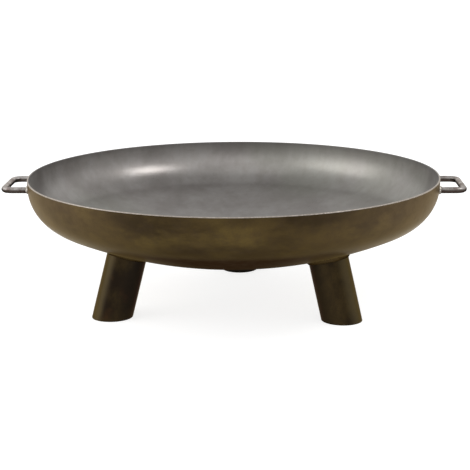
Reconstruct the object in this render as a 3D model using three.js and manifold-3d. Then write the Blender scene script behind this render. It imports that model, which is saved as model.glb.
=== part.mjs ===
// Fire bowl: a dished steel bowl with two bar handles, welded onto three splayed tube legs.
// Millimetres, +Z up. The origin is on the bowl's axis, at the floor under the feet.
// +X runs out through the right handle, and the rear leg stands on the +Y side.

import * as THREE from "three";
import { mergeVertices } from "three/addons/utils/BufferGeometryUtils.js";
import Module from "manifold-3d";

const wasm = await Module();
wasm.setup();

const { degToRad } = THREE.MathUtils;

// ---- Driving dimensions ----

const gap = 0.3; // clearance left between pieces that the welds hold together

const bowlRadius = 400; // outside of the rim
const rimHeight = 256; // top of the rim above the floor
const sheet = 3; // thickness of the pressed sheet
const crownRadius = 837; // outside radius of the dished bottom
const knuckleRadius = 87; // outside radius of the turn from the bottom into the wall
const flange = 11; // straight wall above the knuckle
const rimRound = 0.8; // rounding of the rim's two edges

const legRadius = 38.05; // 76.1 mm tube
const legWall = 3;
const footDistance = 253; // middle of the legs' circle to the middle of each foot
const legTurn = degToRad(-2.4); // the welded legs sit a little round from the handles
const legOffset = -6; // and their circle sits this far along X from the bowl's axis

const barRadius = 6; // 12 mm round bar
const handleReach = 449; // bowl axis to the outside of the grip
const handleSpread = 118; // between the middle lines of a handle's two arms
const handleDrop = 21; // rim down to the middle of the bar
const handleBend = 17; // bend radius of the bar's middle line

const legBead = 5; // weld fillet round a leg
const handleBead = 2.5; // weld fillet round a handle arm

// ---- Facets ----

const bowlSides = 72;
const crownSteps = 9;
const knuckleSteps = 7;
const rimSteps = 2;
const legSides = 40;
const barSides = 14;
const barSteps = 64;
const beadSides = 12;

// ---- Derived dimensions ----

// The wall's section is two arcs that meet in line: the crown, centred on the axis, and the
// knuckle, centred level with the lower end of the straight flange.
const knuckleHeight = rimHeight - flange;
const knuckleAxis = bowlRadius - knuckleRadius;
const crownAngle = Math.asin(knuckleAxis / (crownRadius - knuckleRadius));
const crownCentre = knuckleHeight + (crownRadius - knuckleRadius) * Math.cos(crownAngle);

const crownPoint = new THREE.Vector3(0, 0, crownCentre);

const handleHeight = rimHeight - handleDrop;
const gripX = handleReach - barRadius;
const armY = handleSpread / 2;

// ---- Materials ----

function steel(colour, roughness) {
  return new THREE.MeshStandardMaterial({ color: colour, roughness, metalness: 0.85 });
}

const bowlSteel = steel("#6a6252", 0.5);
const legSteel = steel("#3a3122", 0.55);
const handleSteel = steel("#7b746d", 0.5);
const weldMetal = steel("#59503f", 0.45);

// ---- Joining and cutting ----

// A solid to cut with, from a closed geometry. Triangles that close up on the axis are left out.
function solid(geometry) {
  const bare = geometry.clone();
  bare.deleteAttribute("normal");
  bare.deleteAttribute("uv");
  const merged = mergeVertices(bare);
  const index = merged.index.array;
  const triangles = [];
  for (let i = 0; i < index.length; i += 3) {
    const [a, b, c] = index.slice(i, i + 3);
    if (a !== b && b !== c && c !== a) {
      triangles.push(a, b, c);
    }
  }
  return new wasm.Manifold(new wasm.Mesh({
    numProp: 3,
    vertProperties: merged.attributes.position.array,
    triVerts: Uint32Array.from(triangles),
  }));
}

function toGeometry(cutSolid) {
  const mesh = cutSolid.getMesh();
  const geometry = new THREE.BufferGeometry();
  geometry.setAttribute("position", new THREE.BufferAttribute(mesh.vertProperties, 3));
  geometry.setIndex(new THREE.BufferAttribute(mesh.triVerts, 1));
  geometry.computeVertexNormals();
  return geometry;
}

function piece(name, geometry, material) {
  const mesh = new THREE.Mesh(geometry, material);
  mesh.name = name;
  return mesh;
}

// ---- Bowl ----

function arc(x, y, radius, from, to, steps) {
  return new THREE.EllipseCurve(x, y, radius, radius, from, to, to < from).getPoints(steps);
}

// Section of the dished wall, from the axis up to the flange, at an offset from its outer face.
function wallLine(offset) {
  const bottom = -Math.PI / 2;
  const meeting = bottom + crownAngle;
  return [
    ...arc(0, crownCentre, crownRadius + offset, bottom, meeting, crownSteps),
    ...arc(knuckleAxis, knuckleHeight, knuckleRadius + offset, meeting, 0, knuckleSteps).slice(1),
  ];
}

// A section in radius and height, spun round the bowl's axis.
function spin(section) {
  return solid(new THREE.LatheGeometry(section, bowlSides).rotateX(Math.PI / 2));
}

function bowlSolid() {
  const roundHeight = rimHeight - rimRound;
  const innerRadius = bowlRadius - sheet;
  return spin([
    ...wallLine(0),
    ...arc(bowlRadius - rimRound, roundHeight, rimRound, 0, Math.PI / 2, rimSteps),
    ...arc(innerRadius + rimRound, roundHeight, rimRound, Math.PI / 2, Math.PI, rimSteps),
    ...wallLine(-sheet).reverse(),
  ]);
}

// Everything inside the bowl's outer face and a gap beyond it: what its neighbours stay out of.
function bowlReserve() {
  const top = rimHeight + gap;
  return spin([
    ...wallLine(gap),
    new THREE.Vector2(bowlRadius + gap, top),
    new THREE.Vector2(0, top),
  ]);
}

// ---- Legs ----

function footPoint(bearing) {
  const angle = bearing + legTurn;
  const x = legOffset + footDistance * Math.cos(angle);
  return new THREE.Vector3(x, footDistance * Math.sin(angle), 0);
}

// Leans what was made upright on the origin, and stands it on a foot's point. Each leg is square
// to the dished bottom, so it leans towards the crown's centre.
function lean(foot, geometry) {
  const upright = new THREE.Vector3(0, 0, 1);
  const axis = crownPoint.clone().sub(foot).normalize();
  const turn = new THREE.Quaternion().setFromUnitVectors(upright, axis);
  return geometry.applyQuaternion(turn).translate(foot.x, foot.y, foot.z);
}

// A cylinder on a leg's axis, from well under the floor to well inside the bowl.
function legRod(foot, radius) {
  const rodLength = 2 * (rimHeight - legRadius);
  const rod = new THREE.CylinderGeometry(radius, radius, rodLength, legSides);
  return solid(lean(foot, rod.rotateX(Math.PI / 2)));
}

function underFloor() {
  const width = 2 * bowlRadius;
  return solid(new THREE.BoxGeometry(width, width, rimHeight).translate(0, 0, -rimHeight / 2));
}

function legSolid(foot, reserve) {
  return legRod(foot, legRadius)
    .subtract(legRod(foot, legRadius - legWall))
    .subtract(underFloor())
    .subtract(reserve);
}

// A ring round the leg where it meets the bowl, with the leg and the bowl cut away.
function legWeldSolid(foot, reserve) {
  const height = foot.distanceTo(crownPoint) - Math.sqrt(crownRadius ** 2 - legRadius ** 2);
  const ring = new THREE.TorusGeometry(legRadius, legBead, beadSides, legSides);
  return solid(lean(foot, ring.translate(0, 0, height)))
    .subtract(legRod(foot, legRadius + gap))
    .subtract(reserve);
}

// ---- Handles ----

// The bent bar's middle line, level all the way. It starts and ends inside the bowl's wall.
class HandleLine extends THREE.Curve {
  constructor() {
    super();
    const armStart = bowlRadius - armY;
    const bendX = gripX - handleBend;
    const bendY = armY - handleBend;
    this.plan = new THREE.Path()
      .moveTo(armStart, -armY)
      .lineTo(bendX, -armY)
      .absarc(bendX, -bendY, handleBend, -Math.PI / 2, 0)
      .lineTo(gripX, bendY)
      .absarc(bendX, bendY, handleBend, 0, Math.PI / 2)
      .lineTo(armStart, armY);
  }

  getPoint(t) {
    const { x, y } = this.plan.getPoint(t);
    return new THREE.Vector3(x, y, handleHeight);
  }
}

function handleSolid(reserve) {
  const section = new THREE.Shape().absarc(0, 0, barRadius, 0, 2 * Math.PI);
  const bar = new THREE.ExtrudeGeometry(section, {
    extrudePath: new HandleLine(),
    steps: barSteps,
    curveSegments: barSides / 2,
  });
  return solid(bar).subtract(reserve);
}

// A ring round one arm where it meets the bowl's wall, lying against the wall, with the arm and
// the bowl cut away. side is -1 for the front arm and 1 for the rear one.
function handleWeldSolid(side, reserve) {
  const wallX = Math.sqrt(bowlRadius ** 2 - armY ** 2);
  const wallTurn = Math.asin(armY / bowlRadius);
  const ring = solid(new THREE.TorusGeometry(barRadius, handleBead, beadSides, 2 * beadSides)
    .rotateY(Math.PI / 2)
    .rotateZ(side * wallTurn)
    .translate(wallX, side * armY, handleHeight));
  const arm = solid(new THREE.CylinderGeometry(barRadius + gap, barRadius + gap, handleSpread, legSides)
    .rotateZ(Math.PI / 2)
    .translate(wallX, side * armY, handleHeight));
  return ring.subtract(arm).subtract(reserve);
}

// ---- Assembly ----

const legBearings = [
  { name: "rear", bearing: degToRad(90) },
  { name: "left", bearing: degToRad(210) },
  { name: "right", bearing: degToRad(330) },
];

const handleSides = [
  { name: "right", angle: 0, firstArm: "front", secondArm: "rear" },
  { name: "left", angle: Math.PI, firstArm: "rear", secondArm: "front" },
];

function addBowl(group) {
  group.add(piece("bowl", toGeometry(bowlSolid()), bowlSteel));
}

function addLegs(group, reserve) {
  for (const { name, bearing } of legBearings) {
    const foot = footPoint(bearing);
    group.add(piece(`leg_${name}`, toGeometry(legSolid(foot, reserve)), legSteel));
    group.add(piece(`leg_weld_${name}`, toGeometry(legWeldSolid(foot, reserve)), weldMetal));
  }
}

// The left handle is the right one turned half round, so its first arm is at the rear.
function addHandles(group, reserve) {
  const handle = toGeometry(handleSolid(reserve));
  const firstWeld = toGeometry(handleWeldSolid(-1, reserve));
  const secondWeld = toGeometry(handleWeldSolid(1, reserve));
  for (const { name, angle, firstArm, secondArm } of handleSides) {
    const assembly = new THREE.Group();
    assembly.add(piece(`handle_${name}`, handle, handleSteel));
    assembly.add(piece(`handle_weld_${name}_${firstArm}`, firstWeld, weldMetal));
    assembly.add(piece(`handle_weld_${name}_${secondArm}`, secondWeld, weldMetal));
    assembly.rotation.z = angle;
    group.add(assembly);
  }
}

function fireBowl() {
  const group = new THREE.Group();
  const reserve = bowlReserve();
  addBowl(group);
  addLegs(group, reserve);
  addHandles(group, reserve);
  return group;
}

export default fireBowl();
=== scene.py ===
# Fire bowl: a dished steel bowl with two bar handles, welded onto three splayed tube legs.
# Metres, +Z up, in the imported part's own frame: the bowl's axis is Z, the handles lie on X.

import math
from typing import NamedTuple

import bmesh
import bpy
from mathutils import Matrix, Vector, noise


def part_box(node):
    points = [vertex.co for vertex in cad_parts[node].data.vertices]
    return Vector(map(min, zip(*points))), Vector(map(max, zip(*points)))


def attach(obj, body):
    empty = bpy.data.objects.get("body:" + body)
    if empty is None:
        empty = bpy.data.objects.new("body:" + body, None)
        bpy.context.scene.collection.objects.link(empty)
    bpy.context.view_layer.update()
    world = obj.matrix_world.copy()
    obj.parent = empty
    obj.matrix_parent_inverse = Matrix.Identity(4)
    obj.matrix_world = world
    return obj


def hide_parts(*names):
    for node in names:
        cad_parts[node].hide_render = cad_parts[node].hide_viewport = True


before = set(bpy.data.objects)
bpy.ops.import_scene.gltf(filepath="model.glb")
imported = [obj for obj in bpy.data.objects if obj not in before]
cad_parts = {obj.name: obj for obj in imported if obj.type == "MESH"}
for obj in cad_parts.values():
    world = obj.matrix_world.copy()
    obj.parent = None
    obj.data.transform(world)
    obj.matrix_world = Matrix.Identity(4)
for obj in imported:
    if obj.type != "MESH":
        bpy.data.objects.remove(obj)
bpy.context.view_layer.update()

# ---- Driving dimensions that the frame's boxes don't give ----

SHEET = 0.003  # thickness of the bowl
CROWN_RADIUS = 0.837  # outside radius of the dished bottom
KNUCKLE_RADIUS = 0.087  # outside radius of the turn from the bottom into the wall
FLANGE = 0.011  # straight wall above the knuckle
RIM_ROUND = 0.0007  # the rim's edges, broken with a file

LEG_RADIUS = 0.03805
LEG_WALL = 0.003
FOOT_ROUND = 0.0006  # the cut foot's edges, broken too
BAR_RADIUS = 0.006
BEND_RADIUS = 0.017  # of the handle bar's middle line
EMBED = 0.001  # how far legs and handles sink into the bowl's sheet, inside the weld

# ---- Places from the frame ----

SIDES = ("left", "right")
LEGS = ("left", "right", "rear")
UP = Vector((0, 0, 1))

bowl_low, bowl_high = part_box("bowl")
BOWL_RADIUS = bowl_high.x
RIM_HEIGHT = bowl_high.z
CROWN_HEIGHT = bowl_low.z + CROWN_RADIUS
CROWN_POINT = Vector((0, 0, CROWN_HEIGHT))
KNUCKLE_HEIGHT = RIM_HEIGHT - FLANGE
KNUCKLE_AXIS = BOWL_RADIUS - KNUCKLE_RADIUS
CROWN_ANGLE = math.asin(KNUCKLE_AXIS / (CROWN_RADIUS - KNUCKLE_RADIUS))

handle_low, handle_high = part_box("handle_right")
HANDLE_HEIGHT = (handle_low.z + handle_high.z) / 2
GRIP_X = handle_high.x - BAR_RADIUS
ARM_Y = handle_high.y - BAR_RADIUS


def foot_centre(name):
    """The middle of a leg's cut on the floor, from the lowest points of its CAD node."""
    points = [v.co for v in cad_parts[f"leg_{name}"].data.vertices if v.co.z < FOOT_ROUND]
    xs = [p.x for p in points]
    ys = [p.y for p in points]
    return Vector(((min(xs) + max(xs)) / 2, (min(ys) + max(ys)) / 2, 0))


def wall_radius(z):
    """Outside radius of the bowl at a height in the knuckle or the flange."""
    drop = max(0, KNUCKLE_HEIGHT - z)
    return KNUCKLE_AXIS + math.sqrt(KNUCKLE_RADIUS**2 - drop**2)


def wall_x(y, z, depth):
    """How far out along X the bowl's wall is beside a handle's arm, at a depth in its sheet."""
    return math.sqrt((wall_radius(z) - depth) ** 2 - y**2)


def on_wall(point, depth):
    """A point moved along X onto the bowl's wall, or to a depth in its sheet."""
    return Vector((wall_x(point.y, point.z, depth), point.y, point.z))


# ---- Object and mesh helpers ----


def add_object(name, data):
    """A new object in the scene, for a mesh, a light or a camera."""
    thing = bpy.data.objects.new(name, data)
    bpy.context.scene.collection.objects.link(thing)
    return thing


def loft(rings, joined=False, ends=None):
    """Points and faces of a skin over rings of equal length.

    joined closes the last ring onto the first; ends are two points that close the open ends.
    """
    count = len(rings[0])
    points = [p for ring in rings for p in ring]
    spans = len(rings) if joined else len(rings) - 1
    faces = []
    for i in range(spans):
        here = i * count
        there = (i + 1) % len(rings) * count
        for j in range(count):
            k = (j + 1) % count
            faces.append((here + j, here + k, there + k, there + j))
    if ends:
        first = len(points)
        last = (len(rings) - 1) * count
        points += list(ends)
        for j in range(count):
            k = (j + 1) % count
            faces.append((first, k, j))
            faces.append((first + 1, last + j, last + k))
    return points, faces


def add_piece(name, skin, materials, node):
    """A smooth mesh piece that stands for a CAD node, with its normals facing out."""
    points, faces = skin
    mesh = bpy.data.meshes.new(name)
    mesh.from_pydata(points, [], faces)
    for material in materials:
        mesh.materials.append(material)
    mesh.polygons.foreach_set("use_smooth", [True] * len(faces))
    tidy = bmesh.new()
    tidy.from_mesh(mesh)
    bmesh.ops.recalc_face_normals(tidy, faces=tidy.faces)
    tidy.to_mesh(mesh)
    tidy.free()
    piece = add_object(name, mesh)
    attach(piece, "root")
    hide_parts(node)
    return piece


def turns(count):
    """Angles at equal steps all the way round."""
    return [2 * math.pi * i / count for i in range(count)]


def arc(centre, radius, start, end, steps):
    """Points on an arc in a section: pairs of level distance and height, with 0 pointing down."""
    angles = [start + (end - start) * i / steps for i in range(steps + 1)]
    return [(centre[0] + radius * math.sin(a), centre[1] - radius * math.cos(a)) for a in angles]


# ---- Camera ----

CAMERA_DISTANCE = 2.531  # level distance from the bowl's axis
CAMERA_HEIGHT = 0.7213
CAMERA_BEARING = math.radians(1.793)  # round from straight in front, towards the right handle
CAMERA_HEADING = math.radians(-0.047)  # aimed this much off the bowl's axis
CAMERA_TILT = math.radians(13.082)
CAMERA_ROLL = math.radians(-0.345)
CAMERA_LENS = 100.66  # mm
CAMERA_SENSOR = 36  # mm


def add_camera():
    data = bpy.data.cameras.new("camera")
    data.lens = CAMERA_LENS
    data.sensor_width = CAMERA_SENSOR
    turn = Matrix.Rotation(CAMERA_BEARING + CAMERA_HEADING, 4, "Z")
    tilt = Matrix.Rotation(math.pi / 2 - CAMERA_TILT, 4, "X")
    roll = Matrix.Rotation(CAMERA_ROLL, 4, "Z")
    x = CAMERA_DISTANCE * math.sin(CAMERA_BEARING)
    y = -CAMERA_DISTANCE * math.cos(CAMERA_BEARING)
    camera = add_object("camera", data)
    camera.matrix_world = Matrix.Translation((x, y, CAMERA_HEIGHT)) @ turn @ tilt @ roll
    bpy.context.scene.camera = camera


# ---- Bowl ----

BOWL_SIDES = 288
CROWN_STEPS = 48
KNUCKLE_STEPS = 28
RIM_STEPS = 4
DENT = 0.00035  # unevenness left by the press
DENT_SCALE = 7.0

OUTSIDE, RIM, INSIDE = range(3)  # the order of the bowl's materials


def wall_line(depth):
    """Section of the bowl's wall from beside the axis to the flange, at a depth in the sheet."""
    crown = arc((0, CROWN_HEIGHT), CROWN_RADIUS - depth, 0, CROWN_ANGLE, CROWN_STEPS)
    knuckle_centre = (KNUCKLE_AXIS, KNUCKLE_HEIGHT)
    knuckle_radius = KNUCKLE_RADIUS - depth
    knuckle = arc(knuckle_centre, knuckle_radius, CROWN_ANGLE, math.pi / 2, KNUCKLE_STEPS)
    radius = BOWL_RADIUS - depth
    flange = [(radius, KNUCKLE_HEIGHT + FLANGE / 2), (radius, RIM_HEIGHT - 2 * RIM_ROUND)]
    return crown[1:] + knuckle[1:] + flange


def rim_line():
    """Section over the rim, from its outer edge to its inner one."""
    height = RIM_HEIGHT - RIM_ROUND
    outer = (BOWL_RADIUS - RIM_ROUND, height)
    inner = (BOWL_RADIUS - SHEET + RIM_ROUND, height)
    quarter = math.pi / 2
    over = arc(outer, RIM_ROUND, quarter, 2 * quarter, RIM_STEPS)
    back = arc(inner, RIM_ROUND, 2 * quarter, 3 * quarter, RIM_STEPS)
    return over + back


def dented(point):
    """Moves a point of the bowl by the pressed sheet's slight unevenness."""
    away = (point - Vector((0, 0, KNUCKLE_HEIGHT))).normalized()
    return point + away * DENT * noise.noise(point * DENT_SCALE)


def around(radius, height):
    """The ring that a point of the section makes round the bowl's axis, dents and all."""
    angles = turns(BOWL_SIDES)
    return [dented(Vector((radius * math.cos(a), radius * math.sin(a), height))) for a in angles]


def bowl_slots(outer, edge, inner):
    """The material of each of the bowl's faces, in the order in which loft makes them.

    The rim's material covers the outer edge's rounding and the flat top. The inner edge's rounding
    counts as the inside.
    """
    outside_spans = len(outer) - 1
    rim_spans = len(edge) // 2 + 1
    inside_spans = len(edge) // 2 + len(inner) - 1
    spans = [OUTSIDE] * outside_spans + [RIM] * rim_spans + [INSIDE] * inside_spans
    bottom = [OUTSIDE, INSIDE] * BOWL_SIDES
    return [slot for slot in spans for _ in range(BOWL_SIDES)] + bottom


def add_bowl(outside, rim, inside):
    outer = wall_line(0)
    edge = rim_line()
    inner = wall_line(SHEET)[::-1]
    rings = [around(radius, height) for radius, height in outer + edge + inner]
    bottom = Vector((0, 0, CROWN_HEIGHT - CROWN_RADIUS))
    skin = loft(rings, ends=(dented(bottom), dented(bottom + UP * SHEET)))
    piece = add_piece("bowl_shell", skin, (outside, rim, inside), "bowl")
    piece.data.polygons.foreach_set("material_index", bowl_slots(outer, edge, inner))


# ---- Legs ----

LEG_SIDES = 96
LEG_STEPS = 12
FOOT_STEPS = 3


class LegAxis:
    """The middle line of one leg, square to the dished bottom, with points round it."""

    def __init__(self, name):
        self.foot = foot_centre(name)
        reach = CROWN_POINT - self.foot
        self.length = reach.length
        self.along = reach.normalized()
        self.side = UP.cross(self.along).normalized()
        self.front = self.along.cross(self.side)

    def spoke(self, angle):
        """The direction away from the middle line at an angle round it."""
        return self.side * math.cos(angle) + self.front * math.sin(angle)

    def at_height(self, angle, radius, z):
        """The point at an angle and a distance from the middle line, at a height over the floor."""
        spoke = self.spoke(angle) * radius
        return self.foot + spoke + self.along * ((z - spoke.z) / self.along.z)

    def at_bowl(self, angle, radius, depth):
        """The point where a line along the leg meets the bowl, or a depth in its sheet."""
        reach = math.sqrt((CROWN_RADIUS - depth) ** 2 - radius**2)
        return self.foot + self.spoke(angle) * radius + self.along * (self.length - reach)


def tube_face(axis, radius):
    """Rings down one face of a leg's tube, from inside the bowl's sheet to just over the foot."""
    angles = turns(LEG_SIDES)
    top = [axis.at_bowl(a, radius, EMBED) for a in angles]
    base = [axis.at_height(a, radius, 2 * FOOT_ROUND) for a in angles]
    shares = [i / LEG_STEPS for i in range(LEG_STEPS + 1)]
    return [[high.lerp(low, share) for high, low in zip(top, base)] for share in shares]


def foot_rings(axis, outer, inner):
    """Rings under a leg's cut foot, round its outer edge and its inner one."""
    quarter = math.pi / 2
    section = arc((outer - FOOT_ROUND, FOOT_ROUND), FOOT_ROUND, quarter, 0, FOOT_STEPS)
    section += arc((inner + FOOT_ROUND, FOOT_ROUND), FOOT_ROUND, 0, -quarter, FOOT_STEPS)
    return [[axis.at_height(a, radius, z) for a in turns(LEG_SIDES)] for radius, z in section]


def leg_skin(name):
    """The tube's skin, down its outer face, round the foot and up the bore."""
    axis = LegAxis(name)
    outer = LEG_RADIUS
    inner = LEG_RADIUS - LEG_WALL
    bore = tube_face(axis, inner)[::-1]
    return loft(tube_face(axis, outer) + foot_rings(axis, outer, inner) + bore, joined=True)


def add_leg(name, material):
    add_piece(f"leg_tube_{name}", leg_skin(name), (material,), f"leg_{name}")


# ---- Handles ----

BAR_SIDES = 40
BEND_STEPS = 20
ARM_STEPS = 12  # along each arm, and along each half of the grip


def bar_ring(point, tangent):
    """A round section of the bar; its middle line is level all the way."""
    out = tangent.cross(UP)
    angles = turns(BAR_SIDES)
    return [point + (out * math.cos(a) + UP * math.sin(a)) * BAR_RADIUS for a in angles]


def handle_line():
    """Points and directions along the right handle's bar, starting and ending just off the wall."""
    start_x = wall_x(ARM_Y, HANDLE_HEIGHT, 0) + BAR_RADIUS
    bend_x = GRIP_X - BEND_RADIUS
    bend_y = ARM_Y - BEND_RADIUS
    line = []
    for i in range(ARM_STEPS):
        x = start_x + (bend_x - start_x) * i / ARM_STEPS
        line.append((Vector((x, -ARM_Y, HANDLE_HEIGHT)), Vector((1, 0, 0))))
    for i in range(BEND_STEPS + 1):
        a = math.pi / 2 * i / BEND_STEPS
        x = bend_x + BEND_RADIUS * math.sin(a)
        y = -bend_y - BEND_RADIUS * math.cos(a)
        line.append((Vector((x, y, HANDLE_HEIGHT)), Vector((math.cos(a), math.sin(a), 0))))
    for i in range(1, ARM_STEPS):
        y = -bend_y + bend_y * i / ARM_STEPS
        line.append((Vector((GRIP_X, y, HANDLE_HEIGHT)), Vector((0, 1, 0))))
    middle = (Vector((GRIP_X, 0, HANDLE_HEIGHT)), Vector((0, 1, 0)))
    mirrored = [(Vector((p.x, -p.y, p.z)), Vector((-t.x, t.y, 0))) for p, t in reversed(line)]
    return line + [middle] + mirrored


def handle_skin():
    """The right handle's bar, with both ends sunk into the bowl's wall."""
    rings = [bar_ring(point, tangent) for point, tangent in handle_line()]
    start = [on_wall(p, EMBED) for p in rings[0]]
    end = [on_wall(p, EMBED) for p in rings[-1]]
    middles = [sum(ring, Vector()) / BAR_SIDES for ring in (start, end)]
    return loft([start] + rings + [end], ends=middles)


def turned(skin, side):
    """A skin made for the right handle, turned half round the bowl's axis for the left one."""
    if side == "right":
        return skin
    points, faces = skin
    return [Vector((-p.x, -p.y, p.z)) for p in points], faces


def add_handle(side, material):
    skin = turned(handle_skin(), side)
    add_piece(f"handle_bar_{side}", skin, (material,), f"handle_{side}")


# ---- Welds ----

BEAD_STEPS = 9  # across a bead
RIPPLE_PITCH = 0.0032
RIPPLE_DRIFT = 1.4  # how many pitches the ripples stray from an even spacing
RIPPLE_DRIFT_SCALE = 60  # how many times they stray in a metre
RIPPLE_CURVE = 0.9  # how many pitches a crescent's ends lie ahead of its middle
HANDLE_SEED = 4  # of the first bead at a handle; the legs' beads have smaller ones


class Bead(NamedTuple):
    """A weld fillet in metres; its length and width vary round the joint by the given shares."""

    sides: int  # steps round the joint
    length: float  # along the leg or the handle's arm
    width: float  # along the bowl
    length_varies: float
    width_varies: float
    lumps: float  # how often it varies on the way round
    swell: float  # how far its face stands out in the middle
    crest: float  # height of its ripples


LEG_BEAD = Bead(
    sides=420,
    length=0.0085,
    width=0.0050,
    length_varies=0.16,
    width_varies=0.10,
    lumps=2.0,
    swell=0.0012,
    crest=0.0004,
)

HANDLE_BEAD = Bead(
    sides=140,
    length=0.0040,
    width=0.0020,
    length_varies=0.25,
    width_varies=0.20,
    lumps=1.5,
    swell=0.0008,
    crest=0.0003,
)

# The arms of each handle. The number is the side of the arm as the right handle has it, -1 at
# negative Y. The left handle is the right one turned half round, so its front arm comes from 1.
ARMS = {
    "left": (("front", 1), ("rear", -1)),
    "right": (("front", -1), ("rear", 1)),
}


def ripple(path, across, seed):
    """Height, from -1 to 1, of a bead's crescents at a length along it and a share across it."""
    drift = noise.noise(Vector((path * RIPPLE_DRIFT_SCALE, seed, 0))) * RIPPLE_DRIFT
    phase = path / RIPPLE_PITCH + drift - RIPPLE_CURVE * (2 * across - 1) ** 2
    return math.sin(phase * 2 * math.pi)


def bead_size(bead, angle, seed):
    """Length and width of a bead at an angle round its joint."""
    place = Vector((bead.lumps * math.cos(angle), bead.lumps * math.sin(angle), seed))
    uneven = noise.noise(place)
    length = bead.length * (1 + bead.length_varies * uneven)
    width = bead.width * (1 + bead.width_varies * uneven)
    return length, width


def bead_ring(bead, toe, heel, corner, root, path, seed):
    """A section across a bead: its face from toe to heel, closed at a root inside the steel.

    corner is where the joined surfaces meet, and path is the length along the bead so far.
    """
    out = ((toe + heel) / 2 - corner).normalized()
    ring = []
    for i in range(BEAD_STEPS + 1):
        share = i / BEAD_STEPS
        swell = bead.swell + bead.crest * ripple(path, share, seed)
        ring.append(toe.lerp(heel, share) + out * swell * math.sin(math.pi * share))
    return ring + [root]


def leg_bead_skin(name, seed):
    """The fillet round the top of one leg."""
    axis = LegAxis(name)
    rings = []
    for a in turns(LEG_BEAD.sides):
        length, width = bead_size(LEG_BEAD, a, seed)
        corner = axis.at_bowl(a, LEG_RADIUS, 0)
        toe = corner - axis.along * length - axis.spoke(a) * EMBED
        heel = axis.at_bowl(a, LEG_RADIUS + width, EMBED)
        root = axis.at_bowl(a, LEG_RADIUS - EMBED, EMBED)
        rings.append(bead_ring(LEG_BEAD, toe, heel, corner, root, a * LEG_RADIUS, seed))
    return loft(rings, joined=True)


def handle_bead_skin(arm_side, seed):
    """The fillet round one arm of the right handle, at negative Y for -1 and positive Y for 1."""
    middle = Vector((0, arm_side * ARM_Y, HANDLE_HEIGHT))
    rings = []
    for a in turns(HANDLE_BEAD.sides):
        length, width = bead_size(HANDLE_BEAD, a, seed)
        spoke = Vector((0, math.cos(a), math.sin(a)))
        corner = on_wall(middle + spoke * BAR_RADIUS, 0)
        toe = corner + Vector((length, 0, 0)) - spoke * EMBED / 2
        heel = on_wall(middle + spoke * (BAR_RADIUS + width), EMBED)
        root = corner - spoke * EMBED - Vector((EMBED, 0, 0))
        path = a * (BAR_RADIUS + width)
        rings.append(bead_ring(HANDLE_BEAD, toe, heel, corner, root, path, seed))
    return loft(rings, joined=True)


def add_leg_bead(name, material, seed):
    skin = leg_bead_skin(name, seed)
    add_piece(f"leg_bead_{name}", skin, (material,), f"leg_weld_{name}")


def add_handle_beads(side, material, first_seed):
    for seed, (arm, arm_side) in enumerate(ARMS[side], start=first_seed):
        skin = turned(handle_bead_skin(arm_side, seed), side)
        node = f"handle_weld_{side}_{arm}"
        add_piece(f"handle_bead_{side}_{arm}", skin, (material,), node)


# ---- Node trees ----

WHITE = (1.0, 1.0, 1.0, 1.0)
GRAIN_DEPTH = 0.00003  # relief of rolled steel's fine grain
WAVE_DEPTH = 0.0001  # and of its soft waves
OIL_ROUGHNESS = 0.3


def rgb(red, green, blue):
    """A linear colour from the 0-255 steps of a screen colour."""

    def linear(step):
        share = step / 255
        return share / 12.92 if share < 0.04045 else ((share + 0.055) / 1.055) ** 2.4

    return (linear(red), linear(green), linear(blue), 1.0)


class Nodes:
    """A node tree under construction: its methods add nodes and return their output."""

    def __init__(self, tree):
        self.nodes = tree.nodes
        self.links = tree.links

    def feed(self, node, inputs):
        """Gives a node's inputs, by name or number, either another node's output or a value."""
        for key, value in inputs.items():
            if isinstance(value, bpy.types.NodeSocket):
                self.links.new(value, node.inputs[key])
            else:
                node.inputs[key].default_value = value

    def add(self, kind, inputs, output=0, **settings):
        node = self.nodes.new(kind)
        for key, value in settings.items():
            setattr(node, key, value)
        self.feed(node, inputs)
        return node.outputs[output]

    def maths(self, operation, first, second):
        return self.add("ShaderNodeMath", {0: first, 1: second}, operation=operation)

    def vector(self, operation, first, second):
        return self.add("ShaderNodeVectorMath", {0: first, 1: second}, operation=operation)

    def axis(self, name, vector):
        """One part of a vector, by the name of its axis: X, Y or Z."""
        return self.add("ShaderNodeSeparateXYZ", {0: vector}, output=name)

    def spread(self, value, low, high, to_low=0.0, to_high=1.0):
        """Maps low..high onto to_low..to_high, smoothly and held at the ends."""
        inputs = {"Value": value, "From Min": low, "From Max": high, "To Min": to_low, "To Max": to_high}
        return self.add("ShaderNodeMapRange", inputs, interpolation_type="SMOOTHSTEP")


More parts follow.
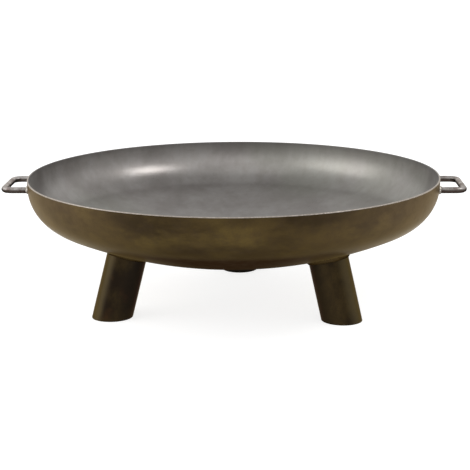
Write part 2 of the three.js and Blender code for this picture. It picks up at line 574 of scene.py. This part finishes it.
class Recipe(Nodes):
    """A material under construction, placed in the part's own frame."""

    def __init__(self, name):
        self.material = bpy.data.materials.new(name)
        self.material.use_nodes = True
        super().__init__(self.material.node_tree)
        self.place = self.add("ShaderNodeTexCoord", {}, output="Object")

    def noise(self, scale, detail=3.0, rough=0.5, stretch=(1, 1, 1), offset=0.0):
        """Soft noise from 0 to 1; scale counts its features in a metre."""
        place = self.vector("MULTIPLY", self.place, stretch)
        place = self.vector("ADD", place, (offset, offset, offset))
        inputs = {"Vector": place, "Scale": scale, "Detail": detail, "Roughness": rough}
        return self.add("ShaderNodeTexNoise", inputs)

    def mix(self, share, first, second):
        """A blend of two colours: the first at a share of 0, the second at 1."""
        node = self.nodes.new("ShaderNodeMix")
        node.data_type = "RGBA"
        # The node has sockets for every type of data, and only those for colours are enabled.
        numbers = {s.name: i for i, s in enumerate(node.inputs) if s.enabled}
        self.feed(node, {numbers["Factor"]: share, numbers["A"]: first, numbers["B"]: second})
        return next(s for s in node.outputs if s.enabled)

    def bump(self, height, depth, below=None):
        """Normals of a relief of a depth in metres, over the normals of another one below it."""
        inputs = {"Height": height, "Distance": depth, "Strength": 1.0}
        if below:
            inputs["Normal"] = below
        return self.add("ShaderNodeBump", inputs)

    def rolled(self, grain, wave_scale):
        """Normals of rolled steel: soft waves over its fine grain."""
        return self.bump(self.noise(wave_scale), WAVE_DEPTH, below=self.bump(grain, GRAIN_DEPTH))

    def patches(self, value, low, high, most=1.0):
        """Soft-edged patches: 0 where a noise is low, rising to the most where it is high."""
        return self.spread(value, low, high, to_low=0.0, to_high=most)

    def near(self, point, radius, blur):
        """1 within a radius of a point, falling to 0 over the blur beyond it."""
        inputs = {0: self.place, 1: tuple(point)}
        distance = self.add("ShaderNodeVectorMath", inputs, output="Value", operation="DISTANCE")
        return self.spread(distance, radius, radius + blur, to_low=1.0, to_high=0.0)

    def along(self, axis, low, high):
        """Rises from 0 to 1 between two places along an axis."""
        return self.spread(self.axis(axis, self.place), low, high)

    def facing(self):
        """The direction that the surface itself faces, without its bumps."""
        return self.add("ShaderNodeNewGeometry", {}, output="True Normal")

    def underside(self, start, full, most=1.0):
        """Rises from 0 to the most as the surface turns down, between two upward shares."""
        upward = self.axis("Z", self.facing())
        return self.spread(upward, full, start, to_low=most, to_high=0.0)

    def outward(self, start, full):
        """Rises from 0 to 1 as the surface turns away from the bowl's axis, between two shares."""
        level = self.vector("MULTIPLY", self.place, (1, 1, 0))
        away = self.add("ShaderNodeVectorMath", {0: level}, operation="NORMALIZE")
        inputs = {0: self.facing(), 1: away}
        share = self.add("ShaderNodeVectorMath", inputs, output="Value", operation="DOT_PRODUCT")
        return self.spread(share, start, full)

    def strongest(self, values):
        """The greatest of several values."""
        total = values[0]
        for value in values[1:]:
            total = self.maths("MAXIMUM", total, value)
        return total

    def shade(self, inputs):
        """Feeds the shader's inputs by name and hands the material over."""
        self.feed(self.nodes["Principled BSDF"], inputs)
        return self.material

    def steel(self, colour, roughness, metallic, normal, edge=WHITE, oil=0.0):
        """A steel; edge tints what it reflects at a glancing angle, and oil puts a gloss on it."""
        return self.shade({
            "Base Color": colour,
            "Roughness": roughness,
            "Metallic": metallic,
            "Normal": normal,
            "Specular Tint": edge,
            "Specular IOR Level": 0.0,
            "Coat Weight": oil,
            "Coat Roughness": OIL_ROUGHNESS,
        })


# ---- Steels ----

HEAT_SPREAD = 0.024  # how far round a handle arm's weld the inside is heat-marked
RIM_BAND = 0.014  # height of the darker band just under the rim, inside
DULL_LOW = 0.055  # the inner wall dulls from this far under the rim
DULL_HIGH = 0.010  # to this far under it
SHEEN_RADIUS = 0.10  # the painted sheen on the outside reaches this far round each grip
SHEEN_SPREAD = 0.42  # and less and less over this distance beyond it
OLIVE_HEIGHT = 0.13  # the painted sheen is olive up to here
GREY_HEIGHT = 0.21  # and grey from here up
REAR_START = -0.05  # the rim turns from bright to darker between these places along Y
REAR_FULL = 0.12


def arm_places():
    """Where the four handle arms meet the bowl's wall."""
    x = wall_x(ARM_Y, HANDLE_HEIGHT, 0)
    return [Vector((sx * x, sy * ARM_Y, HANDLE_HEIGHT)) for sx in (-1, 1) for sy in (-1, 1)]


def inside_colour(make, clouds, drawn):
    """Grey with soft clouds and drawing marks, heat-marked at the welds and dark at the rim."""
    tint = make.noise(3.2, offset=4.0)
    mottle = make.noise(55.0, detail=4.0, rough=0.65, offset=9.0)
    colour = make.mix(make.patches(clouds, 0.35, 0.65), rgb(133, 129, 126), rgb(152, 149, 146))
    colour = make.mix(make.patches(tint, 0.4, 0.65, most=0.5), colour, rgb(142, 143, 134))
    colour = make.mix(make.patches(drawn, 0.3, 0.7, most=0.10), colour, rgb(110, 103, 98))
    colour = make.mix(make.patches(mottle, 0.42, 0.7, most=0.14), colour, rgb(112, 104, 99))
    heat = make.strongest([make.near(place, BAR_RADIUS, HEAT_SPREAD) for place in arm_places()])
    colour = make.mix(make.maths("MULTIPLY", heat, 0.22), colour, rgb(78, 69, 65))
    # darker in a band just under the rim
    rim_band = make.along("Z", RIM_HEIGHT - RIM_BAND, RIM_HEIGHT)
    return make.mix(make.maths("MULTIPLY", rim_band, 0.4), colour, rgb(84, 81, 79))


def inside_steel():
    """Bare rolled sheet with fine grain, duller near the rim."""
    make = Recipe("inside_steel")
    clouds = make.noise(9.0, detail=5.0, rough=0.6)
    drawn = make.noise(60.0, rough=0.6, stretch=(1, 1, 0.08))
    grain = make.noise(900.0, detail=2.0, rough=0.6)
    roughness = make.spread(clouds, 0.3, 0.7, to_low=0.30, to_high=0.36)
    speckle = make.spread(grain, 0.3, 0.7, to_low=-0.03, to_high=0.03)
    roughness = make.maths("ADD", roughness, speckle)
    dull = make.along("Z", RIM_HEIGHT - DULL_LOW, RIM_HEIGHT - DULL_HIGH)
    roughness = make.maths("ADD", roughness, make.maths("MULTIPLY", dull, 0.2))
    normal = make.bump(grain, depth=0.00002)
    normal = make.bump(make.noise(160.0), depth=0.00005, below=normal)
    normal = make.bump(drawn, depth=0.00001, below=normal)
    return make.steel(inside_colour(make, clouds, drawn), roughness, 0.95, normal)


def outside_colour(make, clouds, grain, painted_sheen, beyond_sheen):
    """Olive-brown scale with golden clouds, a paler painted sheen on the sides and painted shade
    underneath.
    """
    gold = make.noise(9.0, detail=4.0, rough=0.6, stretch=(1, 1, 2.0), offset=7.0)
    mottle = make.noise(60.0, detail=4.0, rough=0.65, offset=11.0)
    colour = make.mix(make.patches(clouds, 0.35, 0.65), rgb(46, 36, 20), rgb(74, 60, 33))
    colour = make.mix(make.patches(gold, 0.45, 0.7, most=0.5), colour, rgb(96, 80, 42))
    colour = make.mix(make.patches(grain, 0.35, 0.7, most=0.25), colour, rgb(46, 36, 24))
    # painted shade: darker as the surface turns down, except where the painted sheen is
    dark = make.maths("MULTIPLY", make.underside(-0.4, -0.92, most=0.95), beyond_sheen)
    colour = make.mix(dark, colour, rgb(38, 25, 14))
    # painted sheen: paler colour for the sides round the grips, olive low and grey high
    height = make.along("Z", OLIVE_HEIGHT, GREY_HEIGHT)
    sheen_colour = make.mix(height, rgb(166, 143, 74), rgb(116, 100, 88))
    colour = make.mix(make.maths("MULTIPLY", painted_sheen, 0.45), colour, sheen_colour)
    return make.mix(make.patches(mottle, 0.4, 0.7, most=0.32), colour, rgb(56, 45, 33))


def outside_steel():
    """Oiled sheet with its skin of scale: a painted sheen near the handles, matt painted shade
    underneath.
    """
    make = Recipe("outside_steel")
    clouds = make.noise(6.0, detail=5.0, rough=0.6, stretch=(1, 1, 2.2))
    grain = make.noise(500.0, rough=0.7)
    grips = [(side * GRIP_X, 0, HANDLE_HEIGHT) for side in (-1, 1)]
    # painted sheen: the sides round both grips, lighter as if lit by reflected light
    painted_sheen = make.strongest([make.near(grip, SHEEN_RADIUS, SHEEN_SPREAD) for grip in grips])
    beyond_sheen = make.maths("SUBTRACT", 1.0, painted_sheen)
    colour = outside_colour(make, clouds, grain, painted_sheen, beyond_sheen)
    # painted shade underneath: matt, without metal or oil, so that it stays dark
    painted_shade = make.maths("MULTIPLY", make.underside(-0.66, -0.93), beyond_sheen)
    metallic = make.spread(painted_shade, 0.0, 1.0, to_low=0.9, to_high=0.0)
    # a coat of gloss on the lower part of the painted sheen, to brighten it further
    glaze = make.maths("MULTIPLY", painted_sheen, make.underside(-0.5, -0.85, most=0.3))
    oil = make.spread(painted_shade, 0.0, 1.0, to_low=0.06, to_high=0.0)
    oil = make.maths("ADD", oil, glaze)
    roughness = make.spread(clouds, 0.3, 0.7, to_low=0.38, to_high=0.48)
    normal = make.rolled(grain, 120.0)
    return make.steel(colour, roughness, metallic, normal, edge=rgb(226, 214, 188), oil=oil)


def rim_steel():
    """The rim's cut edge with its file marks, bright at the front and darker towards the rear."""
    make = Recipe("rim_steel")
    file_marks = make.noise(420.0, detail=2.0)
    rear = make.along("Y", REAR_START, REAR_FULL)
    bright = make.mix(make.patches(file_marks, 0.3, 0.7), rgb(138, 130, 121), rgb(174, 166, 158))
    colour = make.mix(rear, bright, rgb(84, 80, 76))
    edge = make.mix(rear, rgb(255, 250, 244), rgb(120, 115, 110))
    return make.steel(colour, 0.38, 0.95, make.bump(file_marks, depth=0.00005), edge)


def leg_steel(name, painted_shade):
    """Oiled mill-scale tube: painted shade towards the bowl's axis, painted light away, and a share of
    painted shade.
    """
    make = Recipe(name)
    clouds = make.noise(14.0, detail=5.0, rough=0.6, stretch=(1, 1, 0.6))
    rust = make.noise(22.0, detail=4.0, rough=0.6, offset=3.0)
    grain = make.noise(600.0, rough=0.7)
    colour = make.mix(make.patches(clouds, 0.35, 0.65), rgb(30, 22, 13), rgb(60, 48, 26))
    colour = make.mix(make.patches(rust, 0.55, 0.75, most=0.5), colour, rgb(58, 38, 22))
    colour = make.mix(make.patches(grain, 0.4, 0.7, most=0.3), colour, rgb(24, 19, 13))
    # painted shade on the side that faces the bowl's axis
    shaded = make.mix(0.6, colour, rgb(18, 13, 8))
    colour = make.mix(make.outward(-0.1, 0.6), shaded, colour)
    # painted light: a paler strip on the side that faces away from the axis
    pale = make.maths("MULTIPLY", make.outward(0.78, 1.0), 0.42)
    colour = make.mix(pale, colour, rgb(96, 85, 60))
    # painted shade by the given share
    colour = make.mix(painted_shade, colour, rgb(10, 8, 6))
    roughness = make.spread(clouds, 0.3, 0.7, to_low=0.34, to_high=0.48)
    normal = make.rolled(grain, 140.0)
    return make.steel(colour, roughness, 0.9, normal, edge=rgb(196, 182, 156), oil=0.08)


def handle_steel():
    """Bare round bar, warm grey, with darker scale left in patches and painted shade underneath."""
    make = Recipe("handle_steel")
    clouds = make.noise(40.0, detail=4.0, rough=0.6)
    scale = make.noise(70.0, detail=4.0, rough=0.65, offset=5.0)
    grain = make.noise(900.0, rough=0.6)
    # painted shade: rises as the bar's surface turns down
    underside = make.underside(0.7, -0.1, most=0.94)
    colour = make.mix(make.patches(clouds, 0.35, 0.65), rgb(142, 136, 132), rgb(184, 180, 177))
    colour = make.mix(make.patches(scale, 0.5, 0.7, most=0.6), colour, rgb(104, 84, 80))
    colour = make.mix(underside, colour, rgb(48, 38, 31))
    # the painted shade also dims what the underside reflects
    edge = make.mix(underside, rgb(220, 214, 208), rgb(70, 58, 48))
    roughness = make.spread(scale, 0.4, 0.7, to_low=0.36, to_high=0.5)
    return make.steel(colour, roughness, 0.92, make.rolled(grain, 200.0), edge)


def weld_steel(name, light, dark):
    """Weld metal: small patches of light and dark, and painted shade underneath."""
    make = Recipe(name)
    clouds = make.noise(180.0, rough=0.6)
    colour = make.mix(make.patches(clouds, 0.35, 0.65), dark, light)
    # painted shade underneath
    colour = make.mix(make.underside(0.6, -0.3, most=0.9), colour, dark)
    roughness = make.spread(clouds, 0.3, 0.7, to_low=0.28, to_high=0.42)
    normal = make.bump(make.noise(900.0, detail=2.0), depth=0.00005)
    return make.steel(colour, roughness, 0.9, normal, edge=light)


# ---- Studio ----

FLOOR_RADIUS = 40.0
FLOOR_SIDES = 64
FLOOR_GREY = 0.45
FLOOR_GLOW = 0.80


def floor_material():
    """A matt floor that glows a little, so that only a faint shadow shows on it."""
    return Recipe("pale_floor").shade({
        "Base Color": (FLOOR_GREY, FLOOR_GREY, FLOOR_GREY, 1.0),
        "Roughness": 0.9,
        "Specular IOR Level": 0.0,
        "Emission Color": WHITE,
        "Emission Strength": FLOOR_GLOW,
    })


def add_floor():
    mesh = bpy.data.meshes.new("floor")
    angles = turns(FLOOR_SIDES)
    edge = [(FLOOR_RADIUS * math.cos(a), FLOOR_RADIUS * math.sin(a), 0) for a in angles]
    mesh.from_pydata(edge, [], [tuple(range(FLOOR_SIDES))])
    mesh.materials.append(floor_material())
    floor = add_object("floor", mesh)


def add_softbox(name, bearing, elevation, distance, size, power):
    """An area light that faces the bowl, with its bearing and its elevation in degrees.

    The bearing is from straight in front, towards +X.
    """
    data = bpy.data.lights.new(name, "AREA")
    data.shape = "RECTANGLE"
    data.size, data.size_y = size
    data.energy = power
    bearing = math.radians(bearing)
    elevation = math.radians(elevation)
    level = distance * math.cos(elevation)
    height = distance * math.sin(elevation)
    away = Vector((level * math.sin(bearing), -level * math.cos(bearing), height))
    light = add_object(name, data)
    light.location = away + UP * (RIM_HEIGHT / 2)
    light.rotation_euler = (-away).to_track_quat("-Z", "Y").to_euler()


def add_world():
    """Soft light all round: darker behind the camera, to the right and straight overhead."""
    world = bpy.data.worlds.new("studio")
    bpy.context.scene.world = world
    world.use_nodes = True
    make = Nodes(world.node_tree)
    direction = make.add("ShaderNodeTexCoord", {}, output="Generated")
    front = make.spread(make.axis("Y", direction), -1.0, 0.1, to_low=0.75, to_high=1.15)
    overhead = make.spread(make.axis("Z", direction), 0.5, 1.0, to_low=1.0, to_high=0.5)
    right = make.spread(make.axis("X", direction), 0.1, 0.85, to_low=1.0, to_high=0.8)
    strength = make.maths("MULTIPLY", make.maths("MULTIPLY", front, overhead), right)
    make.feed(make.nodes["Background"], {"Color": WHITE, "Strength": strength})


def add_lights():
    add_world()
    add_softbox("key_right", bearing=71, elevation=47, distance=2.6, size=(0.8, 0.7), power=14)
    add_softbox("fill_left", bearing=-76, elevation=25, distance=2.8, size=(2.4, 2.2), power=27)
    add_softbox("fill_front", bearing=0, elevation=32, distance=3.0, size=(2.4, 2.0), power=8)
    add_softbox("fill_top", bearing=-20, elevation=66, distance=3.0, size=(2.0, 1.6), power=5)


# ---- Assembly ----


def add_legs():
    front = leg_steel("leg_steel", painted_shade=0.0)
    # the rear leg's steel is darkened with painted shade
    rear = leg_steel("shaded_rear_leg_steel", painted_shade=0.8)
    materials = {"left": front, "right": front, "rear": rear}
    bead_material = weld_steel("leg_bead_steel", light=rgb(84, 69, 42), dark=rgb(60, 48, 29))
    for seed, name in enumerate(LEGS):
        add_leg(name, materials[name])
        add_leg_bead(name, bead_material, seed)


def add_handles():
    bar_material = handle_steel()
    bead_material = weld_steel("handle_bead_steel", light=rgb(226, 220, 211), dark=rgb(76, 66, 56))
    for first_seed, side in enumerate(SIDES, start=HANDLE_SEED):
        add_handle(side, bar_material)
        add_handle_beads(side, bead_material, first_seed)


def build():
    add_camera()
    add_bowl(outside_steel(), rim_steel(), inside_steel())
    add_legs()
    add_handles()
    add_floor()
    add_lights()
    bpy.context.scene.view_settings.view_transform = "Standard"


build()
